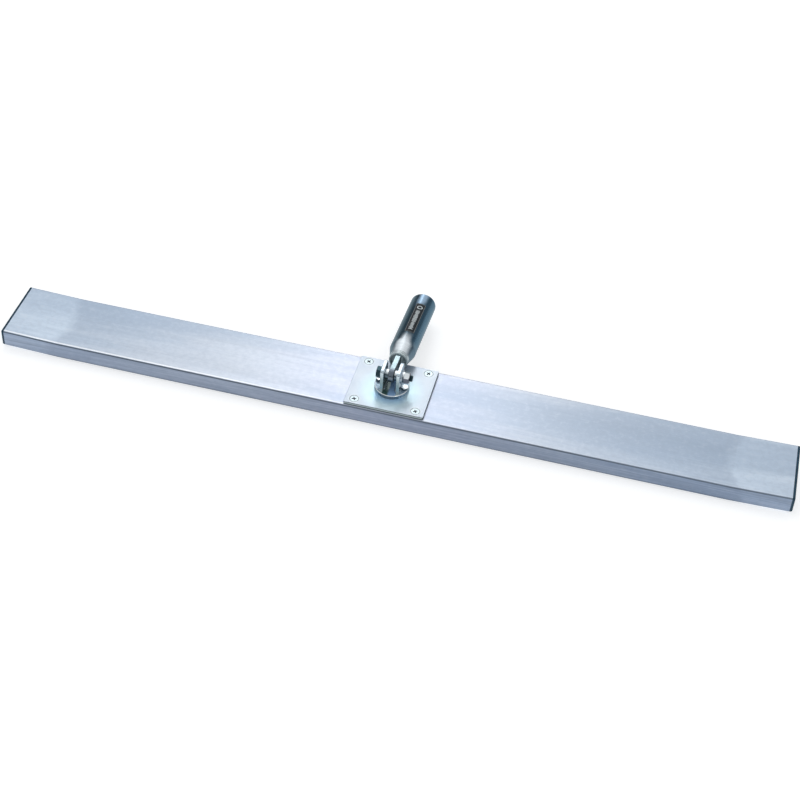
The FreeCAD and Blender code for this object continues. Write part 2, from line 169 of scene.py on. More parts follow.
def magnesium():
    g = G("magnesium_satin")
    x, y, z = g.sep()
    # long die lines of the extrusion, fine brushing, and slow clouding
    die = g.noise(g.map((0.35, 260, 260)), 1.0, 5, 0.6)
    fine = g.noise(g.map((14, 1500, 1500)), 1.0, 3, 0.6)
    hair = g.noise(g.map((3.0, 700, 700), loc=(3.1, 0, 0)), 1.0, 4, 0.65)
    cloud = g.noise(g.map((1.0, 4.0, 4.0)), 3.2, 5, 0.6, 0.4)
    streak = g.noise(g.map((0.45, 26, 26), loc=(0.7, 0.2, 0)), 1.0, 3, 0.55)
    blotch = g.noise(g.map((1, 1.6, 1.6), loc=(5, 2, 1)), 34.0, 5, 0.62, 0.3)
    col = g.ramp(streak, [(0.30, (0.485, 0.530, 0.605)), (0.50, (0.565, 0.610, 0.690)), (0.72, (0.625, 0.665, 0.740))])
    col = g.mix(g.rng(cloud, 0.35, 0.7, 0.0, 0.45), col, (0.51, 0.57, 0.66))
    col = g.mix(g.rng(hair, 0.35, 0.75, 0.0, 0.30), col, (0.80, 0.83, 0.88))
    col = g.mix(g.rng(die, 0.30, 0.48, 0.22, 0.0), col, (0.46, 0.51, 0.58))
    col = g.mix(g.rng(blotch, 0.55, 0.78, 0.0, 0.16), col, (0.50, 0.56, 0.65))
    # painted reflection: the upturned ends of the blade are painted lighter, with a curved border where the bend starts
    ax = g.math("ABSOLUTE", x)
    bow = g.math("MULTIPLY", g.math("MULTIPLY", y, y), 9.0)
    edge = g.math("ADD", g.math("SUBTRACT", ax, bow), g.math("MULTIPLY", blotch, 0.02))
    bent_end_sheen = g.rng(edge, 0.510, 0.526, 0.0, 0.70, True)
    col = g.mix(bent_end_sheen, col, (0.76, 0.81, 0.88))
    # bluer toward both ends, a faint warm lilac by the plate
    end = g.rng(g.math("ADD", ax, g.math("MULTIPLY", g.math("SUBTRACT", cloud, 0.5), 0.25)), 0.20, 0.50, 0.0, 0.75, True)
    col = g.mix(end, col, g.mix(1.0, col, (0.95, 1.03, 1.10), "MULTIPLY"))
    lilac = g.rng(g.math("ADD", ax, g.math("MULTIPLY", g.math("SUBTRACT", blotch, 0.5), 0.10)), 0.05, 0.26, 0.8, 0.0, True)
    col = g.mix(lilac, col, g.mix(1.0, col, (0.985, 0.955, 1.0), "MULTIPLY"))
    wipe = g.noise(g.map((0.8, 9, 9), rot=(0, 0, 0.10), loc=(1.7, 0.4, 0)), 2.2, 4, 0.55, 0.5)
    col = g.mix(g.rng(wipe, 0.38, 0.56, 0.48, 0.0), col, (0.38, 0.47, 0.60))
    col = g.mix(g.rng(wipe, 0.54, 0.70, 0.0, 0.50), col, (0.70, 0.75, 0.84))
    mot = g.noise(g.map((1, 1.2, 1.2), loc=(8, 1, 0)), 110.0, 4, 0.65, 0.2)
    col = g.mix(g.rng(mot, 0.36, 0.52, 0.20, 0.0), col, (0.42, 0.47, 0.56))
    col = g.mix(g.rng(mot, 0.52, 0.70, 0.0, 0.22), col, (0.78, 0.80, 0.86))
    smear = g.noise(g.map((2.4, 30, 30), rot=(0, 0, -0.06), loc=(0.2, 3.4, 0)), 1.6, 4, 0.6, 0.3)
    col = g.mix(g.rng(smear, 0.55, 0.72, 0.0, 0.22), col, (0.42, 0.50, 0.62))
    # light handling marks and small dull specks
    sc1 = g.noise(g.map((60, 900, 900), rot=(0, 0, 0.5)), 1.0, 2, 0.5)
    marks = g.rng(sc1, 0.70, 0.78, 0.0, 1.0)
    spots = g.rng(g.voro(g.map((1, 1, 1)), 95.0), 0.0, 0.09, 0.5, 0.0)
    col = g.mix(g.math("MULTIPLY", marks, 0.22), col, (0.86, 0.88, 0.92))
    col = g.mix(g.math("MULTIPLY", spots, 0.25), col, (0.42, 0.46, 0.52))
    # painted shade: the upright faces are darkened by their normal, with random patches on them
    nx = g.n("ShaderNodeTexCoord").outputs["Normal"]
    ny = g.math("ABSOLUTE", g.sep(nx)[1])
    side = g.rng(ny, 0.55, 0.90, 0.0, 1.0, True)
    side_shade_col = g.mix(1.0, col, (0.49, 0.53, 0.60), "MULTIPLY")
    col = g.mix(side, col, side_shade_col)
    scale = g.noise(g.map((6.0, 420, 420), loc=(4, 4, 4)), 1.0, 4, 0.65)
    col = g.mix(g.math("MULTIPLY", side, g.rng(scale, 0.36, 0.60, 0.45, 0.0)), col, (0.14, 0.17, 0.22))
    col = g.mix(g.math("MULTIPLY", side, g.rng(scale, 0.56, 0.75, 0.0, 0.30)), col, (0.42, 0.46, 0.53))
    # painted highlight: a thin bright line along the front top edge, fading toward the right
    nz = g.sep(nx)[2]
    glint = g.math("MULTIPLY", g.rng(y, -0.0530, -0.0524, 0.0, 1.0), g.rng(y, -0.0512, -0.0500, 1.0, 0.0))
    glint = g.math("MULTIPLY", g.math("MULTIPLY", glint, g.rng(nz, 0.9, 0.95, 0.0, 1.0)), g.rng(x, -0.45, 0.15, 0.85, 0.15, True))
    col = g.mix(glint, col, (0.95, 0.96, 0.99))
    # painted shade on the rounded edges between the top and the upright faces
    arris_shade = g.math("MULTIPLY", g.rng(nz, 0.15, 0.45, 0.0, 1.0, True), g.rng(nz, 0.80, 0.97, 1.0, 0.0, True))
    arris_shade = g.math("MULTIPLY", arris_shade, g.rng(wipe, 0.30, 0.60, 0.62, 0.88))
    col = g.mix(arris_shade, col, (0.13, 0.16, 0.20))
    # painted shade along the bottom of the front face, where the blade meets the floor
    foot_shade = g.math("MULTIPLY", g.rng(z, 0.0020, 0.0060, 1.0, 0.0, True), g.rng(nz, -0.95, -0.80, 0.0, 1.0))
    col = g.mix(g.math("MULTIPLY", foot_shade, g.rng(hair, 0.3, 0.6, 0.70, 0.95)), col, (0.09, 0.12, 0.16))
    rough = g.math("ADD", g.rng(fine, 0.2, 0.8, 0.27, 0.43), g.math("MULTIPLY", g.rng(cloud, 0.3, 0.7, 0.0, 1.0), 0.08))
    rough = g.math("SUBTRACT", rough, g.math("MULTIPLY", marks, 0.08))
    h = g.math("ADD", g.math("MULTIPLY", die, 1.0), g.math("ADD", g.math("MULTIPLY", fine, 0.35), g.math("MULTIPLY", hair, 0.6)))
    wave = g.noise(g.map((1.0, 5.0, 5.0), loc=(2, 0, 0)), 2.6, 2, 0.5)
    nrm = g.bump(wave, 0.5, 0.0016)
    nrm = g.bump(h, 0.30, 0.00016, nrm)
    return g.set(Base_Color=col, Metallic=1.0, Roughness=rough, Normal=nrm)


def zinc(name, base, dark, rlo, rhi, grain=(1, 1, 1), gscale=420.0, bump=0.2, tint=None, cells=120.0, place=None):
    """Zinc plated steel: rolled or turned grain, thin clouds of the passivation, fine pits."""
    g = G(name)
    cloud = g.noise(g.map((1, 1, 1)), 26.0, 5, 0.6, 0.5)
    broad = g.noise(g.map((1, 1, 1), loc=(3, 1, 2)), 9.0, 4, 0.55)
    gr = g.noise(g.map(grain), gscale, 4, 0.6)
    cell = g.voro(g.map((1, 1, 1)), cells, out="Color")
    cs = g.n("ShaderNodeRGBToBW")
    g.link(cell, cs.inputs[0])
    col = g.mix(g.rng(cloud, 0.38, 0.70, 0.0, 0.55), base, dark)
    col = g.mix(g.rng(broad, 0.40, 0.65, 0.0, 0.35), col, tint or base)
    col = g.mix(g.rng(cs.outputs[0], 0.0, 1.0, 0.0, 0.10), col, dark)
    col = g.mix(g.rng(gr, 0.30, 0.50, 0.16, 0.0), col, dark)
    pits = g.rng(g.voro(g.map((1, 1, 1), loc=(1, 1, 0)), 330.0), 0.0, 0.14, 1.0, 0.0)
    col = g.mix(g.math("MULTIPLY", pits, 0.22), col, (dark[0] * 0.55, dark[1] * 0.55, dark[2] * 0.55))
    metal = 1.0
    if place is not None:
        col = place(g, col, cloud)
        if isinstance(col, tuple):
            col, metal = col
    rough = g.math("ADD", g.rng(gr, 0.25, 0.75, rlo, rhi), g.math("MULTIPLY", g.rng(cloud, 0.3, 0.7, 0.0, 1.0), 0.06))
    nrm = g.bump(g.math("ADD", gr, g.math("MULTIPLY", pits, -0.6)), bump, 0.00010)
    return g.set(Base_Color=col, Metallic=metal, Roughness=rough, Normal=nrm)


def clevis_place(g, col, cloud):
    """Painted shade between the ears on the disc and low on the ears, with a painted blue reflection on its right half;
    painted shade on the lower front faces, round the rim and on the disc top outside the ears; a painted highlight on
    the disc's top edge.
    """
    x, y, z = g.sep()
    cx = g.math("ABSOLUTE", g.math("SUBTRACT", x, 0.0008))
    # painted shade between the ears, dark on the left half with a painted blue reflection on the right half; the metal
    # is turned down there too
    inside = g.rng(g.math("ADD", cx, g.math("MULTIPLY", cloud, 0.0006)), 0.0102, 0.0111, 1.0, 0.0)
    low = g.rng(g.math("ADD", z, g.math("MULTIPLY", cloud, 0.010)), 0.058, 0.070, 1.0, 0.0, True)
    ear_gap_shade = g.math("MULTIPLY", inside, low)
    half = g.rng(g.math("ADD", x, g.math("MULTIPLY", cloud, 0.003)), -0.0010, 0.0030, 0.0, 1.0, True)
    shade_reflect_col = g.mix(half, (0.012, 0.062, 0.052), (0.26, 0.44, 0.70))
    col = g.mix(g.math("MULTIPLY", ear_gap_shade, 0.95), col, shade_reflect_col)
    # painted shade: the faces of the ears that look along Y are darker low down and lighter higher up
    nn = g.math("ABSOLUTE", g.sep(g.n("ShaderNodeTexCoord").outputs["Normal"])[1])
    front = g.math("MULTIPLY", g.rng(nn, 0.5, 0.9, 0.0, 1.0, True), g.rng(z, 0.060, 0.078, 0.85, 0.15, True))
    col = g.mix(front, col, (0.40, 0.47, 0.46))
    # painted shade: a dark band round the disc's rim
    rim = g.rng(z, 0.0399, 0.0406, 1.0, 0.0)
    col = g.mix(g.math("MULTIPLY", rim, 0.86), col, (0.075, 0.120, 0.165))
    # painted shade on the disc top outside the ears, mottled blue, with the metal turned down there
    out = g.math("MULTIPLY", g.rng(cx, 0.0152, 0.0160, 0.0, 1.0), g.rng(z, 0.0412, 0.0416, 1.0, 0.0))
    mott = g.noise(g.map((1, 1, 1), loc=(2, 2, 2)), 330.0, 3, 0.6)
    col = g.mix(g.math("MULTIPLY", out, 0.85), col, g.mix(g.rng(mott, 0.35, 0.65, 0.0, 1.0), (0.13, 0.21, 0.30), (0.36, 0.50, 0.62)))
    # painted highlight: a bright line along the disc's top edge
    lit = g.math("MULTIPLY", g.rng(z, 0.0402, 0.0406, 0.0, 1.0), g.rng(z, 0.04108, 0.0412, 1.0, 0.0))
    d = g.math("SQRT", g.math("ADD", g.math("POWER", cx, 2.0), g.math("POWER", g.math("ADD", y, 0.002), 2.0)))
    lit = g.math("MULTIPLY", lit, g.rng(d, 0.0252, 0.0256, 0.0, 1.0))
    metal = g.math("SUBTRACT", 1.0, g.math("MULTIPLY", ear_gap_shade, 0.85))
    metal = g.math("MULTIPLY", metal, g.math("SUBTRACT", 1.0, g.math("MULTIPLY", out, 0.70)))
    return g.mix(lit, col, (0.95, 0.98, 0.98)), metal


def lug_place(g, col, cloud):
    """Painted shade on the round end of the lug and on its upright flanks."""
    x, y, z = g.sep()
    # painted shade over the round end of the lug
    d = g.math("ADD", g.math("MULTIPLY", g.math("ADD", y, 0.005), H.y), g.math("MULTIPLY", g.math("SUBTRACT", z, 0.0635), H.z))
    end = g.rng(g.math("ADD", d, g.math("MULTIPLY", cloud, 0.004)), -0.002, 0.006, 1.0, 0.0, True)
    col = g.mix(g.math("MULTIPLY", end, 0.90), col, (0.130, 0.150, 0.185))
    # painted shade on the upright flanks of the lug, between the ears
    nx = g.n("ShaderNodeTexCoord").outputs["Normal"]
    flank_shade = g.rng(g.math("ABSOLUTE", g.sep(nx)[0]), 0.5, 0.8, 0.0, 1.0)
    return g.mix(g.math("MULTIPLY", flank_shade, 0.85), col, (0.060, 0.080, 0.090))


def plate_place(g, col, cloud):
    """Painted shade on the plate's sheared edges; a painted blue reflection and shadow round the clevis and in front of
    the disc; painted shade in the countersinks with a painted highlight round them.
    """
    nx = g.n("ShaderNodeTexCoord").outputs["Normal"]
    nz = g.math("ABSOLUTE", g.sep(nx)[2])
    side = g.rng(nz, 0.45, 0.75, 1.0, 0.0)
    x, y, z = g.sep()
    px = g.math("SUBTRACT", x, 0.0008)
    py = g.math("ADD", y, 0.010)
    d = g.math("SQRT", g.math("ADD", g.math("MULTIPLY", px, px), g.math("MULTIPLY", py, py)))
    # painted reflection and shadow of the clevis: the zinc painted lighter and bluer round it
    ring = g.rng(g.math("ADD", d, g.math("MULTIPLY", cloud, 0.010)), 0.030, 0.062, 0.62, 0.0, True)
    col = g.mix(ring, col, (0.67, 0.93, 1.0))
    # painted blue shadow on the plate in front of the disc
    near = g.math("MULTIPLY", g.rng(g.math("ADD", d, g.math("MULTIPLY", cloud, 0.006)), 0.023, 0.039, 0.75, 0.0, True), g.rng(y, -0.026, -0.016, 1.0, 0.0, True))
    col = g.mix(near, col, (0.42, 0.70, 1.0))
    qx = g.math("SUBTRACT", g.math("ABSOLUTE", x), 0.047)
    qy = g.math("SUBTRACT", g.math("ABSOLUTE", y), 0.042)
    q = g.math("SQRT", g.math("ADD", g.math("MULTIPLY", qx, qx), g.math("MULTIPLY", qy, qy)))
    # painted shade in the countersinks, and a painted highlight as a lighter ring round them
    sink = g.rng(g.math("ADD", q, g.math("MULTIPLY", cloud, 0.0006)), 0.0074, 0.0081, 0.80, 0.0)
    col = g.mix(sink, col, (0.11, 0.14, 0.15))
    halo = g.rng(q, 0.0078, 0.0105, 0.35, 0.0, True)
    col = g.mix(halo, col, (0.72, 0.76, 0.77))
    # painted shade on the plate's sheared edges: dark at top and bottom, with a lighter band between along the front
    # edge
    band = g.math("MULTIPLY", g.rng(z, 0.0310, 0.0316, 0.0, 1.0), g.rng(z, 0.0334, 0.0340, 1.0, 0.0))
    band = g.math("MULTIPLY", band, g.rng(g.math("ABSOLUTE", y), 0.0518, 0.0519, 0.0, 1.0))
    edge = g.mix(g.math("MULTIPLY", band, 0.85), (0.045, 0.060, 0.070), (0.42, 0.50, 0.52))
    return g.mix(side, col, edge), g.rng(cloud, 0.3, 0.7, 0.50, 0.62)


def nut_place(g, col, cloud):
    """Painted highlight on the flats that face up."""
    nz = g.sep(g.n("ShaderNodeTexCoord").outputs["Normal"])[2]
    return g.mix(g.rng(nz, 0.55, 0.88, 0.0, 0.85, True), col, (0.94, 0.98, 1.0))


def screw_place(g, col, cloud):
    """Painted shade down in the cross recesses; darker round the rim of the heads."""
    x, y, z = g.sep()
    qx = g.math("SUBTRACT", g.math("ABSOLUTE", x), 0.047)
    qy = g.math("SUBTRACT", g.math("ABSOLUTE", y), 0.042)
    q = g.math("SQRT", g.math("ADD", g.math("MULTIPLY", qx, qx), g.math("MULTIPLY", qy, qy)))
    # painted shade in the cross recesses
    recess_shade = g.rng(z, 0.03440, 0.03475, 1.0, 0.0)
    col = g.mix(g.math("MULTIPLY", recess_shade, 0.95), col, (0.018, 0.022, 0.024))
    return g.mix(g.rng(q, 0.0059, 0.0064, 0.0, 0.75), col, (0.15, 0.19, 0.20))


def cap_plastic():
    g = G("end_cap_plastic")
    fine = g.noise(g.map((1, 1, 1)), 1500.0, 3, 0.6)
    mid = g.noise(g.map((1, 1, 1)), 160.0, 4, 0.6)
    col = g.mix(g.rng(mid, 0.3, 0.7, 0.0, 1.0), (0.010, 0.036, 0.060), (0.016, 0.058, 0.098))
    scuff = g.noise(g.map((90, 40, 500), rot=(0.6, 0.2, 0)), 1.0, 3, 0.6)
    col = g.mix(g.rng(scuff, 0.66, 0.80, 0.0, 0.5), col, (0.06, 0.11, 0.15))
    rough = g.rng(mid, 0.2, 0.8, 0.40, 0.56)
    return g.set(Base_Color=col, Roughness=rough, Specular_IOR_Level=0.22, Normal=g.bump(fine, 0.35, 0.00012))


def label_film():
    """Black printed film with a plain border, a row of short bars and a ring: no lettering."""
    g = G("label_black_film")
    uv = g.n("ShaderNodeUVMap")
    uv.uv_map = "UVMap"
    u, v, _w = g.sep(uv.outputs[0])
    wear = g.noise(g.map((1, 1, 1)), 900.0, 4, 0.6)
    speck = g.noise(g.map((1, 1, 1)), 2600.0, 2, 0.6)
    # row of bars of changing height along the film
    k = g.math("MULTIPLY", v, 34.0)
    fr = g.math("FRACT", k)
    idx = g.math("FLOOR", k)
    hsh = g.math("FRACT", g.math("MULTIPLY", g.math("SINE", g.math("MULTIPLY", idx, 12.9898)), 437.58))
    bar = g.math("MULTIPLY", g.rng(fr, 0.16, 0.22, 0.0, 1.0), g.rng(fr, 0.70, 0.76, 1.0, 0.0))
    half = g.math("ADD", g.math("MULTIPLY", hsh, 0.12), 0.10)
    off = g.math("ABSOLUTE", g.math("SUBTRACT", u, 0.48))
    inside = g.rng(g.math("SUBTRACT", off, half), -0.015, 0.015, 1.0, 0.0)
    span = g.math("MULTIPLY", g.rng(v, 0.085, 0.095, 0.0, 1.0), g.rng(v, 0.745, 0.755, 1.0, 0.0))
    bars = g.math("MULTIPLY", g.math("MULTIPLY", bar, inside), span)
    # ring near the far end
    du = g.math("MULTIPLY", g.math("SUBTRACT", u, 0.5), 15.9)
    dv = g.math("MULTIPLY", g.math("SUBTRACT", v, 0.865), 82.5)
    rr = g.math("SQRT", g.math("ADD", g.math("MULTIPLY", du, du), g.math("MULTIPLY", dv, dv)))
    ring = g.math("MULTIPLY", g.rng(rr, 2.9, 3.1, 0.0, 1.0), g.rng(rr, 4.3, 4.5, 1.0, 0.0))
    # fine border line
    bu = g.math("ABSOLUTE", g.math("SUBTRACT", u, 0.5))
    bv = g.math("ABSOLUTE", g.math("SUBTRACT", v, 0.5))
    ku = g.math("MULTIPLY", g.rng(bu, 0.425, 0.435, 0.0, 1.0), g.rng(bu, 0.455, 0.465, 1.0, 0.0))
    kv = g.math("MULTIPLY", g.rng(bv, 0.4840, 0.4855, 0.0, 1.0), g.rng(bv, 0.4895, 0.491, 1.0, 0.0))
    inn = g.math("MULTIPLY", g.rng(bu, 0.46, 0.465, 1.0, 0.0), g.rng(bv, 0.4895, 0.491, 1.0, 0.0))
    line = g.math("MULTIPLY", g.math("MAXIMUM", ku, kv), g.math("MULTIPLY", inn, 0.45))
    ink = g.math("MULTIPLY", g.math("MINIMUM", g.math("ADD", g.math("ADD", bars, ring), line), 1.0), g.rng(wear, 0.30, 0.42, 0.55, 1.0))
    black = g.mix(g.rng(speck, 0.3, 0.7, 0.0, 1.0), (0.010, 0.013, 0.016), (0.020, 0.024, 0.028))
    col = g.mix(ink, black, (0.70, 0.75, 0.76))
    return g.set(Base_Color=col, Roughness=g.rng(wear, 0.2, 0.8, 0.30, 0.42), Specular_IOR_Level=0.18, Normal=g.bump(g.math("ADD", g.math("MULTIPLY", ink, 1.0), g.math("MULTIPLY", wear, 0.2)), 0.25, 0.00005))


def socket_steel():
    """Smooth dark bright-plated tube with faint drawing lines along it and round marks at the swage; painted highlights
    along its top, a painted lighter right side, and painted highlight and shade on the turned steps.
    """
    g = G("socket_plated")
    # coordinates along the tube's own axis
    v = g.n("ShaderNodeMapping", vector_type="POINT")
    sub = g.n("ShaderNodeVectorMath", operation="SUBTRACT")
    g.link(g.co, sub.inputs[0])
    sub.inputs[1].default_value = PIV
    v.inputs["Rotation"].default_value = (-TILT, 0, 0)
    g.link(sub.outputs[0], v.inputs["Vector"])
    loc = v.outputs[0]
    lines = g.noise(g.map((600, 3, 600), src=loc), 1.0, 4, 0.6)
    cloud = g.noise(g.map((1, 1, 1), src=loc), 30.0, 5, 0.6, 0.6)
    fine = g.noise(g.map((1, 1, 1), src=loc), 700.0, 3, 0.6)
    base = (0.030, 0.064, 0.090)
    col = g.mix(g.rng(cloud, 0.35, 0.7, 0.0, 0.6), base, (0.018, 0.042, 0.062))
    col = g.mix(g.rng(lines, 0.35, 0.7, 0.0, 0.35), col, (0.065, 0.110, 0.145))
    x, y, z = g.sep(loc)
    wob = g.math("MULTIPLY", g.math("SUBTRACT", cloud, 0.5), 0.012)
    # painted highlight along the top of the tube: a bright patch at the neck and a paler stretch further up
    neck = g.rng(g.math("ADD", y, wob), 0.062, 0.078, 1.0, 0.0, True)
    flare = g.rng(y, 0.062, 0.074, 0.0040, 0.0, True)
    top = g.rng(g.math("SUBTRACT", g.math("ABSOLUTE", g.math("ADD", g.math("ADD", x, -0.001), wob)), flare), 0.0035, 0.0100, 1.0, 0.0, True)
    top = g.math("MULTIPLY", top, g.rng(z, 0.0, 0.004, 0.0, 1.0, True))
    shine = g.math("MULTIPLY", top, g.rng(g.math("ADD", y, wob), 0.064, 0.092, 1.0, 0.0, True))
    far = g.math("MULTIPLY", top, g.rng(g.math("ADD", y, wob), 0.162, 0.186, 0.0, 0.85, True))
    # turned steps round the mouth of the neck, with a painted highlight on the upper side of the ridges and painted
    # shade in the grooves
    lip = g.rng(y, 0.0440, 0.0455, 1.0, 0.0)
    turn = g.math("SINE", g.math("MULTIPLY", y, 6.2832 / 0.00165))
    side = g.rng(z, -0.004, 0.004, 0.0, 1.0, True)
    rings = g.noise(g.map((20, 900, 20), src=loc), 1.0, 2, 0.6)
    # painted light: the right side of the tube lighter blue, less so at the neck, and the neck itself painted paler
    col = g.mix(g.math("MULTIPLY", g.rng(x, 0.004, 0.012, 0.0, 0.75, True), g.rng(neck, 0.0, 1.0, 1.0, 0.5)), col, (0.070, 0.145, 0.215))
    col = g.mix(g.math("MULTIPLY", neck, 0.22), col, (0.30, 0.38, 0.44))
    col = g.mix(far, col, (0.46, 0.62, 0.80))
    col = g.mix(g.math("MULTIPLY", shine, 0.92), col, (0.93, 0.97, 1.0))
    col = g.mix(g.math("MULTIPLY", neck, g.rng(rings, 0.4, 0.65, 0.0, 0.3)), col, (0.22, 0.28, 0.33))
    # painted highlight on the upper side of the turned ridges; painted shade in the grooves below
    col = g.mix(g.math("MULTIPLY", g.math("MULTIPLY", lip, side), g.rng(turn, -0.2, 0.5, 0.0, 0.85)), col, (0.80, 0.88, 0.88))
    col = g.mix(g.math("MULTIPLY", lip, g.rng(turn, -0.7, -0.2, 0.80, 0.0)), col, (0.030, 0.045, 0.055))
    rough = g.math("ADD", g.rng(lines, 0.3, 0.7, 0.25, 0.34), g.math("MULTIPLY", neck, 0.04))
    h = g.math("ADD", g.math("MULTIPLY", lines, 0.5), g.math("ADD", g.math("MULTIPLY", fine, 0.25), g.math("MULTIPLY", g.math("MULTIPLY", rings, neck), 0.8)))
    h = g.math("ADD", h, g.math("MULTIPLY", g.math("MULTIPLY", turn, lip), 1.2))
    rough = g.math("ADD", rough, g.math("MULTIPLY", shine, 0.16))
    return g.set(Base_Color=col, Metallic=g.rng(cloud, 0.3, 0.7, 0.82, 0.90), Roughness=rough, Specular_Tint=(0.68, 0.77, 0.80), Normal=g.bump(h, 0.16, 0.00012))


def weld_metal():
    g = G("weld_bead")
    a = g.noise(g.map((1, 1, 1)), 420.0, 5, 0.65, 0.4)
    b = g.noise(g.map((1, 1, 1)), 1400.0, 3, 0.6)
    col = g.mix(g.rng(a, 0.3, 0.7, 0.0, 1.0), (0.17, 0.23, 0.25), (0.46, 0.54, 0.56))
    return g.set(Base_Color=col, Metallic=g.rng(a, 0.3, 0.7, 0.35, 0.60), Roughness=g.rng(b, 0.2, 0.8, 0.30, 0.55), Normal=g.bump(g.math("ADD", a, g.math("MULTIPLY", b, 0.5)), 0.5, 0.0003))


def bronze():
    g = G("bush_bronze")
    a = g.noise(g.map((1, 1, 1)), 500.0, 4, 0.6)
    col = g.mix(g.rng(a, 0.3, 0.7, 0.0, 1.0), (0.42, 0.27, 0.12), (0.60, 0.42, 0.20))
    return g.set(Base_Color=col, Metallic=1.0, Roughness=g.rng(a, 0.2, 0.8, 0.28, 0.45), Normal=g.bump(a, 0.2, 0.0001))


MAG = magnesium()
PLATE = zinc("plate_zinc", (0.61, 0.660, 0.72), (0.49, 0.56, 0.66), 0.26, 0.38, (0.25, 3, 3), 260.0, 0.18, (0.54, 0.61, 0.70), 90.0, plate_place)
STEEL = zinc("clevis_zinc", (0.66, 0.74, 0.79), (0.38, 0.48, 0.56), 0.16, 0.27, (1, 1, 1), 420.0, 0.22, (0.56, 0.68, 0.79), 160.0, clevis_place)
LUG = zinc("lug_zinc", (0.42, 0.52, 0.55), (0.26, 0.36, 0.40), 0.20, 0.32, (1, 1, 1), 420.0, 0.25, (0.38, 0.49, 0.53), 160.0, lug_place)
SCREW = zinc("screw_zinc", (0.62, 0.67, 0.72), (0.42, 0.47, 0.53), 0.20, 0.32, (1, 1, 1), 700.0, 0.2, (0.60, 0.66, 0.74), 260.0)
CROSS = zinc("cross_screw_zinc", (0.50, 0.57, 0.60), (0.38, 0.45, 0.48), 0.20, 0.32, (1, 1, 1), 700.0, 0.2, (0.45, 0.52, 0.55), 260.0, screw_place)
# darkened zinc: painted shade on the spacers between the ears; the clevis screws and the spring washer share it
SHADED_DARK_ZINC = zinc("bolt_shaded_dark_zinc", (0.13, 0.17, 0.20), (0.06, 0.085, 0.11), 0.20, 0.34, (1, 1, 1), 700.0, 0.25, (0.11, 0.15, 0.19), 260.0, nut_place)
# the pivot bolt and its head washer: zinc darkened to painted shade
SHADED_BOLT_ZINC = zinc("bolt_head_shaded_zinc", (0.060, 0.105, 0.125), (0.030, 0.060, 0.075), 0.24, 0.38, (1, 1, 1), 700.0, 0.25, (0.055, 0.095, 0.115), 260.0)
NUT = zinc("nut_zinc", (0.24, 0.24, 0.27), (0.12, 0.11, 0.15), 0.22, 0.36, (1, 1, 1), 700.0, 0.25, (0.24, 0.23, 0.27), 260.0, nut_place)
CAP = cap_plastic()
SOCK = socket_steel()
WELD = weld_metal()
BRONZE = bronze()
LABEL = label_film()

BY_NODE = {
    "blade": MAG, "end_cap_left": CAP, "end_cap_right": CAP,
    "mounting_plate": PLATE, "plate_screws": CROSS, "rivet_nuts": STEEL,
    "clevis_disc": STEEL, "clevis_ear_left": STEEL, "clevis_ear_right": STEEL, "ear_welds": WELD, "clevis_screws": SHADED_DARK_ZINC,
    "pivot_bolt": SHADED_BOLT_ZINC, "head_washer": SHADED_BOLT_ZINC, "nut_washer": SCREW, "spring_washer": SHADED_DARK_ZINC, "pivot_nut": NUT,
    "spacer_left": SHADED_DARK_ZINC, "spacer_right": SHADED_DARK_ZINC,
    "pivot_lug": LUG, "pivot_bush": BRONZE, "handle_socket": SOCK, "neck_weld": WELD, "socket_label": CAP,
}
for name, mat in BY_NODE.items():
    o = NODES[name]
    for s in o.material_slots:
        s.material = mat
    if not o.material_slots:
        o.data.materials.append(mat)

# ---------------------------------------------------------------- detailed pieces
def mesh_piece(name, verts, faces, mat, body, uvs=None, smooth=True, auto=None):
    me = bpy.data.meshes.new(name)
    me.from_pydata([tuple(v) for v in verts], [], faces)
    if uvs is not None:
        layer = me.uv_layers.new(name="UVMap")
        for poly in me.polygons:
            for li in poly.loop_indices:
                layer.data[li].uv = uvs[me.loops[li].vertex_index]
    bm = bmesh.new()
    bm.from_mesh(me)
    bmesh.ops.recalc_face_normals(bm, faces=bm.faces)
    bm.to_mesh(me)
    bm.free()
    me.polygons.foreach_set("use_smooth", [smooth] * len(me.polygons))
    if auto is not None:
        me.set_sharp_from_angle(angle=math.radians(auto))
    me.materials.append(mat)
    o = bpy.data.objects.new(name, me)
    scene.collection.objects.link(o)
    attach(o, body)
    return o


def grid_faces(nu, nv, wrap_u=False, wrap_v=False, base=0):
    f = []
    for i in range(nu if wrap_u else nu - 1):
        for j in range(nv if wrap_v else nv - 1):
            a = base + i * nv + j
            b = base + ((i + 1) % nu) * nv + j
            c = base + ((i + 1) % nu) * nv + (j + 1) % nv
            d = base + i * nv + (j + 1) % nv
            f.append((a, b, c, d))
    return f


TUBE_R = 0.0203
NECK_0 = 0.038


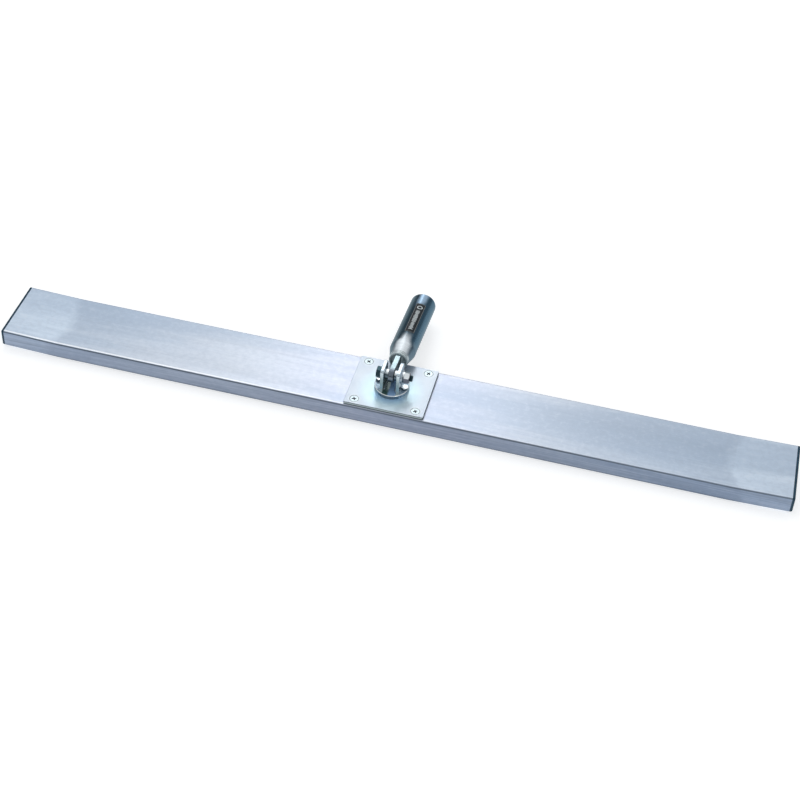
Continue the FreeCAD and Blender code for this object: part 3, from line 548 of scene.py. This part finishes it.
def build_label():
    """Film with rounded corners, closed, a fifth of a millimetre thick, its edge just lifting."""
    nu, nv = 28, 90
    a0, a1 = math.radians(83 + 22.5), math.radians(83 - 22.5)
    d0, d1 = 0.091, 0.1735
    rc = 0.0016
    w = TUBE_R * math.radians(45)
    verts, uvs = [], []
    for layer in (0, 1):
        for i in range(nu):
            for j in range(nv):
                fu, fv = i / (nu - 1), j / (nv - 1)
                su, sv = (fu - 0.5) * w, (fv - 0.5) * (d1 - d0)
                # pull the corners round
                ex, ey = abs(su) - (w / 2 - rc), abs(sv) - ((d1 - d0) / 2 - rc)
                if ex > 0 and ey > 0:
                    l = math.hypot(ex, ey)
                    if l > rc:
                        k = rc / l
                        su = math.copysign(w / 2 - rc + ex * k, su)
                        sv = math.copysign((d1 - d0) / 2 - rc + ey * k, sv)
                ang = math.radians(83) - su / TUBE_R
                edge = min(w / 2 - abs(su), (d1 - d0) / 2 - abs(sv))
                r = TUBE_R + (0.00002 if layer == 0 else 0.00019 + 0.00004 * math.exp(-edge / 0.0006))
                verts.append(arm(r * math.cos(ang), (d0 + d1) / 2 + sv, r * math.sin(ang)))
                uvs.append((su / w + 0.5, sv / (d1 - d0) + 0.5))
    n = nu * nv
    faces = grid_faces(nu, nv) + grid_faces(nu, nv, base=n)
    for i in range(nu - 1):
        for j in (0, nv - 1):
            faces.append((i * nv + j, (i + 1) * nv + j, n + (i + 1) * nv + j, n + i * nv + j))
    for j in range(nv - 1):
        for i in (0, nu - 1):
            faces.append((i * nv + j, i * nv + j + 1, n + i * nv + j + 1, n + i * nv + j))
    o = mesh_piece("label_film", verts, faces, LABEL, "pole_socket_arm", uvs, True, 40)
    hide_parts("socket_label")
    return o


def bead(path, radius, ripple, pitch, seed, closed=False, flat=1.0, m=14):
    """A weld run along a path of (point, out, side) triples: overlapping crescents of solidified metal."""
    verts = []
    n = len(path)
    s = 0.0
    for i in range(n):
        p, a, b = path[i]
        if i:
            s += (path[i][0] - path[i - 1][0]).length
        ph = s / pitch
        grow = 1.0
        if not closed:
            e = min(i, n - 1 - i) / max(1, n - 1)
            grow = min(1.0, math.sqrt(max(0.0, e * 9)) + 0.05)
        for j in range(m):
            t = 2 * math.pi * j / m
            c, d = math.cos(t), math.sin(t)
            # crescents lean back from the middle of the run
            wv = math.sin(2 * math.pi * (ph + 0.45 * abs(d)))
            r = radius * grow * (1 + ripple * (0.5 + 0.5 * wv))
            r *= 1 + 0.10 * noise.noise(Vector((s * 700, c * 2 + seed, d * 2)))
            verts.append(p + a * (r * c * flat) + b * (r * d))
    faces = grid_faces(n, m, closed, True)
    if not closed:
        faces.append(tuple(range(m)))
        faces.append(tuple((n - 1) * m + j for j in range(m)))
    return verts, faces


def build_neck_weld():
    verts, faces = [], []

    def add(vf):
        b = len(verts)
        verts.extend(vf[0])
        faces.extend(tuple(b + k for k in f) for f in vf[1])

    # ring round the mouth of the neck
    n = 220
    path = []
    for i in range(n):
        a = 2 * math.pi * i / n
        out = U * math.cos(a) + N * math.sin(a)
        path.append((arm(0.01255 * math.cos(a), NECK_0 + 0.0002, 0.01255 * math.sin(a)), out, H))
    add(bead(path, 0.00150, 0.22, 0.0024, 1.0, True, 1.05))
    # runs along both faces of the lug
    for sx in (-1, 1):
        path = []
        for i in range(70):
            z = -0.0108 + 0.0216 * i / 69
            path.append((arm(sx * 0.0047, NECK_0 + 0.0006, z), U * sx, H))
        add(bead(path, 0.0017, 0.25, 0.0022, 2.0 + sx, False, 1.0))
    # metal that closes the mouth behind the runs
    for sx in (-1, 1):
        r = 0.0122
        a0 = math.asin(0.00405 / r)
        rim = []
        for i in range(33):
            a = -math.pi / 2 + a0 + (math.pi - 2 * a0) * i / 32
            rim.append((sx * r * math.cos(a), r * math.sin(a)))
        b = len(verts)
        for d in (NECK_0 + 0.0004, NECK_0 + 0.0042):
            for x, z in rim:
                bulge = 0.0
                verts.append(arm(x, d - bulge, z))
        k = len(rim)
        faces.append(tuple(b + i for i in range(k)))
        faces.append(tuple(b + k + i for i in range(k)))
        for i in range(k):
            j = (i + 1) % k
            faces.append((b + i, b + j, b + k + j, b + k + i))
    o = mesh_piece("neck_weld_bead", verts, faces, WELD, "pole_socket_arm", None, True, 50)
    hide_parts("neck_weld")
    return o


def build_ear_welds():
    verts, faces = [], []
    for sx in (-1, 1):
        path = []
        x = 0.0008 + sx * (0.00975 - 0.0009)
        for i in range(90):
            y = -0.0180 + 0.0260 * i / 89
            path.append((Vector((x, y, 0.0410 + 0.0009)), Vector((-sx * 0.7071, 0, 0.7071)), Vector((sx * 0.7071, 0, 0.7071))))
        vf = bead(path, 0.0015, 0.25, 0.0023, 5.0 + sx, False, 0.95)
        b = len(verts)
        verts.extend(vf[0])
        faces.extend(tuple(b + k for k in f) for f in vf[1])
    o = mesh_piece("ear_weld_beads", verts, faces, WELD, "float_head", None, True, 60)
    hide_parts("ear_welds")
    return o


def hex_ring(af, x0, x1, chamfer_at, px, py, pz, n=72, ch=0.0011):
    """Rings of a hexagon prism along X whose corners are cut by a cone at one end."""
    rings = []
    apo = af / 2

    def hexr(a):
        k = (a % (math.pi / 3)) - math.pi / 6
        return apo / math.cos(k)

    steps = 8
    prof = [(x0, 1)] + [(x0 + (x1 - x0) * t, 1) for t in (0.25, 0.5)]
    for x, _ in prof:
        rings.append([(x, hexr(2 * math.pi * i / n)) for i in range(n)])
    sgn = 1 if x1 > x0 else -1
    for k in range(steps + 1):
        t = k / steps
        d = ch * 1.6 * (1 - t)
        cone = (apo - 0.0002) + d * 1.7
        x = x1 - sgn * d
        rings.append([(x, min(hexr(2 * math.pi * i / n), cone)) for i in range(n)])
    return rings


def build_bolt():
    bx0 = 0.0008 - 0.015 - 0.002
    x_end = 0.0008 + 0.015 + 0.002 + 0.0024 + 0.008 + 0.0045
    n = 72
    verts, faces = [], []

    def ring(pts):
        b = len(verts)
        for i, (x, r) in enumerate(pts):
            a = 2 * math.pi * i / n
            verts.append(Vector((x, PIV.y + r * math.cos(a), PIV.z + r * math.sin(a))))
        return b

    def join(b0, b1):
        for i in range(n):
            j = (i + 1) % n
            faces.append((b0 + i, b0 + j, b1 + j, b1 + i))

    # head, from the bearing face outwards, with a shallow dish in its end
    rs = hex_ring(0.016, bx0, bx0 - 0.0064, True, 0, 0, 0)
    bs = [ring(r) for r in rs]
    for a, b in zip(bs, bs[1:]):
        join(a, b)
    last = bs[-1]
    for r, dx in ((0.0070, 0.0), (0.0066, 0.00018), (0.0030, 0.00030), (0.0006, 0.00032)):
        b = ring([(bx0 - 0.0064 + dx, r)] * n)
        join(last, b)
        last = b
    faces.append(tuple(last + i for i in range(n)))
    # bearing face and plain shank
    b = ring([(bx0, 0.0050)] * n)
    join(bs[0], b)
    last = b
    thread0 = 0.0008 + 0.015 + 0.0008
    b = ring([(thread0, 0.0050)] * n)
    join(last, b)
    last = b
    # thread to the end
    pitch, depth = 0.0015, 0.00075
    x = thread0
    while x < x_end - 0.0002:
        x += 0.00014
        pts = []
        fade_in = min(1.0, (x - thread0) / 0.0012)
        cone = 0.0050 - max(0.0, x - (x_end - 0.0011)) * 0.85
        for i in range(n):
            ph = (x / pitch - i / n) % 1.0
            tri = abs(2 * ph - 1)
            tri = min(1.0, max(0.0, tri * 1.25 - 0.10))
            pts.append((x, min(cone, 0.0050 - depth * fade_in * tri)))
        b = ring(pts)
        join(last, b)
        last = b
    b = ring([(x_end, 0.0034)] * n)
    join(last, b)
    faces.append(tuple(b + i for i in range(n)))
    o = mesh_piece("pivot_bolt_threaded", verts, faces, SHADED_BOLT_ZINC, "float_head", None, True, 32)
    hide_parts("pivot_bolt")
    return o


build_label()
build_neck_weld()
build_ear_welds()
build_bolt()

# ---------------------------------------------------------------- floor, camera, light
def floor():
    g = G("studio_floor")
    a = g.noise(g.map((1, 1, 1)), 2.0, 3, 0.5)
    col = g.mix(g.rng(a, 0.3, 0.7, 0.0, 1.0), (0.66, 0.66, 0.665), (0.69, 0.69, 0.69))
    g.set(Base_Color=col, Roughness=0.8, Specular_IOR_Level=0.1, Emission_Color=(1.0, 1.0, 1.0), Emission_Strength=0.56)
    me = bpy.data.meshes.new("floor")
    s = 9.0
    me.from_pydata([(-s, -s, 0), (s, -s, 0), (s, s, 0), (-s, s, 0)], [], [(0, 1, 2, 3)])
    o = bpy.data.objects.new("floor", me)
    o.location.z = -0.0002
    me.materials.append(g.m)
    scene.collection.objects.link(o)


floor()

cam_data = bpy.data.cameras.new("camera")
cam_data.sensor_width = 36.0
cam_data.lens = 68.98
cam_data.shift_x = -0.001625
cam_data.shift_y = 0.000625
cam_data.clip_start = 0.05
cam_data.clip_end = 60.0
cam = bpy.data.objects.new("camera", cam_data)
right = Vector((0.96760, 0.24924, 0.04030)).normalized()
back = Vector((0.14931, -0.69359, 0.70472)).normalized()
up = back.cross(right).normalized()
right = up.cross(back).normalized()
m = Matrix.Identity(4)
for i in range(3):
    m[i][0], m[i][1], m[i][2] = right[i], up[i], back[i]
m[0][3], m[1][3], m[2][3] = 0.36314, -1.61256, 1.64710
cam.matrix_world = m
scene.collection.objects.link(cam)
scene.camera = cam

world = bpy.data.worlds.new("studio")
scene.world = world
world.use_nodes = True
wt = world.node_tree
wt.nodes.clear()
wo = wt.nodes.new("ShaderNodeOutputWorld")
bg = wt.nodes.new("ShaderNodeBackground")
pale = wt.nodes.new("ShaderNodeBackground")
pale.inputs[0].default_value = (0.96, 0.97, 0.98, 1)
pale.inputs[1].default_value = 1.0
tc = wt.nodes.new("ShaderNodeTexCoord")
sx = wt.nodes.new("ShaderNodeSeparateXYZ")
wt.links.new(tc.outputs["Generated"], sx.inputs[0])
rp = wt.nodes.new("ShaderNodeValToRGB")
rp.color_ramp.interpolation = "EASE"
el = rp.color_ramp.elements
el[0].position, el[0].color = 0.05, (0.10, 0.13, 0.16, 1)
el[1].position, el[1].color = 0.42, (0.95, 0.98, 1.0, 1)
e2 = el.new(0.20)
e2.color = (0.16, 0.20, 0.25, 1)
wt.links.new(sx.outputs[2], rp.inputs[0])
wt.links.new(rp.outputs[0], bg.inputs[0])
bg.inputs[1].default_value = 0.72
lp = wt.nodes.new("ShaderNodeLightPath")
mx = wt.nodes.new("ShaderNodeMixShader")
wt.links.new(lp.outputs["Is Camera Ray"], mx.inputs[0])
wt.links.new(bg.outputs[0], mx.inputs[1])
wt.links.new(pale.outputs[0], mx.inputs[2])
wt.links.new(mx.outputs[0], wo.inputs[0])


def area(name, loc, target, sx_, sy_, power, color=(1, 1, 1)):
    ld = bpy.data.lights.new(name, "AREA")
    ld.shape = "RECTANGLE"
    ld.size, ld.size_y = sx_, sy_
    ld.energy = power
    ld.color = color
    o = bpy.data.objects.new(name, ld)
    o.location = loc
    d = Vector(target) - Vector(loc)
    o.rotation_euler = d.to_track_quat("-Z", "Y").to_euler()
    scene.collection.objects.link(o)
    return o


# a tall strip behind the tool and a wide soft box above it
area("strip_back", (-0.55, 2.6, 2.0), (0, 0.05, 0.05), 0.55, 1.9, 8.0, (0.97, 0.99, 1.0))
area("box_top", (-0.9, 0.9, 3.0), (0, 0, 0), 2.6, 1.6, 13.5)
area("box_front", (1.9, -2.4, 2.2), (0, 0, 0), 1.2, 1.2, 4.5)

scene.view_settings.view_transform = "Standard"
scene.view_settings.look = "None"
scene.view_settings.exposure = 0.0
scene.view_settings.gamma = 1.0
